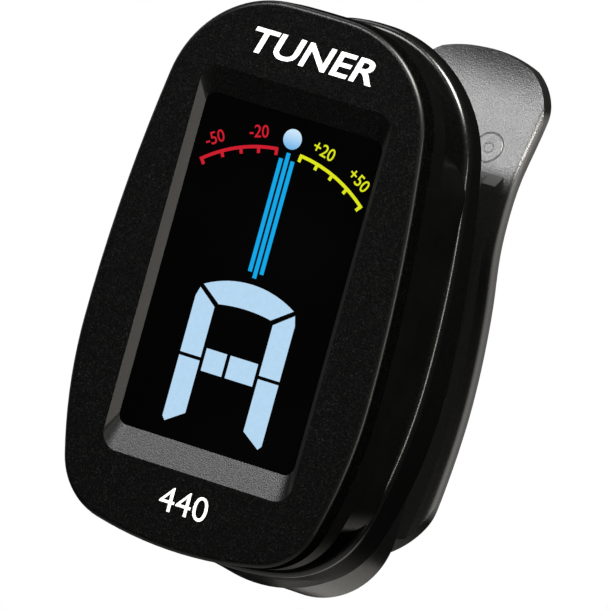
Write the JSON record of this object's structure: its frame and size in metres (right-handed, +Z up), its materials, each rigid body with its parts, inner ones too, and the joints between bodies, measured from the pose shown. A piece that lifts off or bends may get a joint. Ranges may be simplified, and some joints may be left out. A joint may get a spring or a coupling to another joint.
{
  "type": "clip-on tuner",
  "caption": "Clip-on instrument tuner: display head on a swivel, with a sprung two-arm clip that grips a headstock.",
  "frame": {"origin": "middle of the closed jaws, halfway between the two pads' faces", "axes": "+Z up the display, +X to the right seen from the front, +Y from the display back towards the clip"},
  "size_m": [0.033, 0.0413, 0.0584],
  "materials": {
    "case_grained": "fine sparkle grain",
    "case_satin": "satin",
    "clip_satin": "smooth satin",
    "window": "polished smoked acrylic",
    "lcd": "polished",
    "white_plastic": "smooth",
    "elastomer": "matt",
    "board": "solder mask",
    "chip": "matt",
    "button": "matt",
    "pad_rubber": "matt",
    "steel": "bright",
    "spring_steel": "bright",
    "brass": "bright"
  },
  "bodies": {
    "clip_front": {"clip_front_arm": "clip_satin", "front_jaw_pad": "pad_rubber", "hinge_pin": "steel", "clip_spring": "spring_steel", "swivel_washer": "steel"},
    "head": {"front_case": "case_grained", "rear_case": "case_satin", "case_screws": "steel", "display_window": "window", "lcd_panel": "lcd", "backlight": "white_plastic", "display_connector": "elastomer", "circuit_board": "board", "board_components": "chip", "tact_switch": "chip", "piezo_sensor": "brass", "battery_contact_negative": "spring_steel", "battery_contact_positive": "spring_steel", "swivel_friction_ring": "white_plastic", "swivel_screw": "steel"},
    "tray": {"battery_tray": "case_satin", "coin_cell": "steel"},
    "button": {"power_button": "button"},
    "clip_rear": {"clip_rear_arm": "clip_satin", "rear_jaw_pad": "pad_rubber"}
  },
  "joints": [
    {"name": "head_swivel", "type": "hinge", "parent": "clip_front", "child": "head", "pos_m": [0, -0.0198, 0.03], "axis": [0, 1, 0], "continuous": true},
    {"name": "clip_hinge", "type": "hinge", "parent": "clip_front", "child": "clip_rear", "pos_m": [0, -0.0048, 0.028], "axis": [1, 0, 0], "range_deg": [0, 40], "stiffness_Nm_per_rad": 0.25, "springref_deg": -34.38, "deforming": ["clip_spring"]},
    {"name": "battery_tray_slide", "type": "slide", "parent": "head", "child": "tray", "axis": [0, 0, -1], "range_m": [0, 0.024]},
    {"name": "power_button_press", "type": "slide", "parent": "head", "child": "button", "axis": [1, 0, 0], "range_m": [0, 0.0004], "stiffness_N_per_m": 1500, "springref_m": -0.0004}
  ]
}
